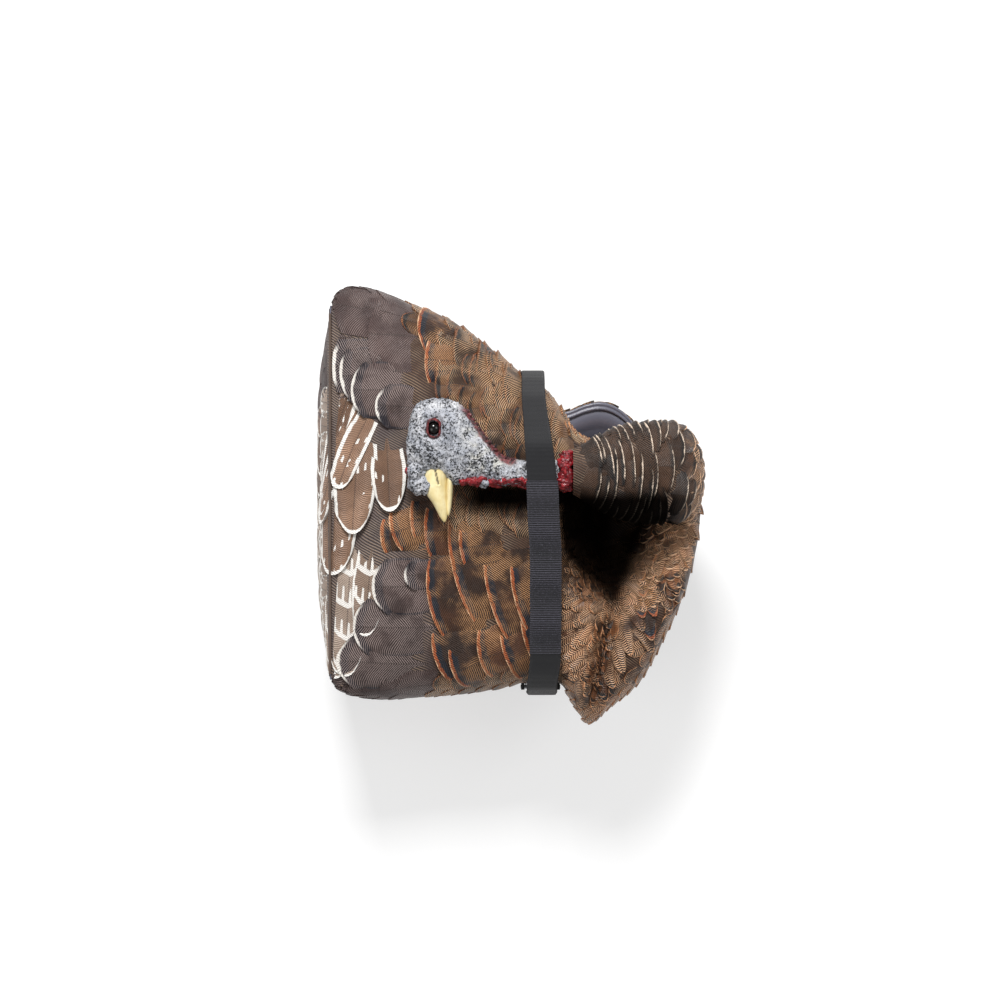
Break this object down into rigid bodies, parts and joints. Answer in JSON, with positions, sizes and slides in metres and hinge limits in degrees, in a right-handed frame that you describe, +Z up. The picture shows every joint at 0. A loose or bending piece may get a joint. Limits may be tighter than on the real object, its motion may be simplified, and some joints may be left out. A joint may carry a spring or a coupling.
{
  "type": "turkey decoy",
  "caption": "Life-size soft moulded turkey decoy, packed: tail half folded under like a book, neck laid over the back, hook-and-loop strap round the bundle, socket for a ground stake.",
  "frame": {"origin": "middle of the packed bundle's footprint, on the surface that it lies on", "axes": "+Z up out of the bird's back; +X from the straight fold towards the breast; the packed bird's own left-right direction lies along Y, and the folded head's beak points along -Y"},
  "size_m": [0.348, 0.3924, 0.2255],
  "materials": {
    "feathered_rubber": "moulded feather relief, hand-painted in bronze, orange, black and off-white",
    "black_rubber": "smooth satin moulded inside face",
    "painted_skin": "pale blue-grey matt paint with fine black stipple",
    "red_skin": "glossy dark red paint",
    "beak_horn": "cream paint with a soft sheen",
    "eye_gloss": "black, mirror-smooth",
    "webbing": "black nylon webbing",
    "loop_fabric": "black brushed loop pile with cross ribs",
    "black_nylon": "moulded, fine grain",
    "white_nylon": "moulded, smooth",
    "grey_nylon": "moulded, smooth",
    "rivet_aluminium": "satin",
    "bar_steel": "zinc-plated"
  },
  "bodies": {
    "front": {"front_shell": "feathered_rubber", "neck_skirt": "feathered_rubber", "stake_housing": "black_nylon", "socket_plate": "black_nylon", "socket_rivets": "rivet_aluminium", "retaining_collar": "black_nylon", "anchor_plate": "black_nylon", "anchor_bar": "bar_steel", "anchor_rivets": "rivet_aluminium", "upper_fold_bead": "black_rubber"},
    "swivel": {"swivel_bushing": "white_nylon"},
    "spine": {"spine_panel": "feathered_rubber", "lower_fold_bead": "black_rubber"},
    "tail": {"tail_shell": "feathered_rubber", "rear_webbing": "webbing", "loop_patch": "loop_fabric"},
    "neck": {"neck_sleeve": "feathered_rubber", "neck_bushing": "black_nylon", "caruncle_ring": "red_skin"},
    "head": {"head_shell": "painted_skin", "bare_neck": "painted_skin", "head_post": "grey_nylon", "post_clip": "bar_steel", "upper_beak": "beak_horn", "lower_beak": "beak_horn", "left_eye": "eye_gloss", "right_eye": "eye_gloss", "left_eyelid": "red_skin", "right_eyelid": "red_skin", "snood": "painted_skin", "throat_wattle": "red_skin"},
    "strap": {"strap_loop_band": "loop_fabric", "strap_hook_band": "webbing", "strap_end_loop": "webbing"}
  },
  "joints": [
    {"name": "back_fold", "type": "hinge", "parent": "front", "child": "spine", "pos_m": [-0.16, 0, 0.168], "axis": [0, 1, 0], "range_deg": [0, 90]},
    {"name": "tail_fold", "type": "hinge", "parent": "spine", "child": "tail", "pos_m": [-0.16, 0, 0.022], "axis": [0, 1, 0], "range_deg": [0, 90]},
    {"name": "strap_open", "type": "hinge", "parent": "front", "child": "strap", "pos_m": [0.029, -0.166, 0.101], "axis": [1, 0, 0], "range_deg": [0, 150]},
    {"name": "neck_fold", "type": "hinge", "parent": "front", "child": "neck", "pos_m": [0.138, 0.03, 0.17], "axis": [0, 1, 0], "range_deg": [0, 100.5], "deforming": ["neck_skirt"]},
    {"name": "head_turn", "type": "hinge", "parent": "neck", "child": "head", "pos_m": [0.05, 0.03, 0.204], "axis": [-1, 0, 0], "range_deg": [0, 90.5]},
    {"name": "stake_swivel", "type": "hinge", "parent": "front", "child": "swivel", "pos_m": [-0.06, 0, 0.117], "axis": [0, 0, 1], "continuous": true}
  ],
  "couplings": [
    {"joint": "tail_fold", "follows": "back_fold", "ratio": 1},
    {"joint": "neck_fold", "follows": "strap_open", "ratio": 0.6667},
    {"joint": "head_turn", "follows": "strap_open", "ratio": 0.6}
  ]
}
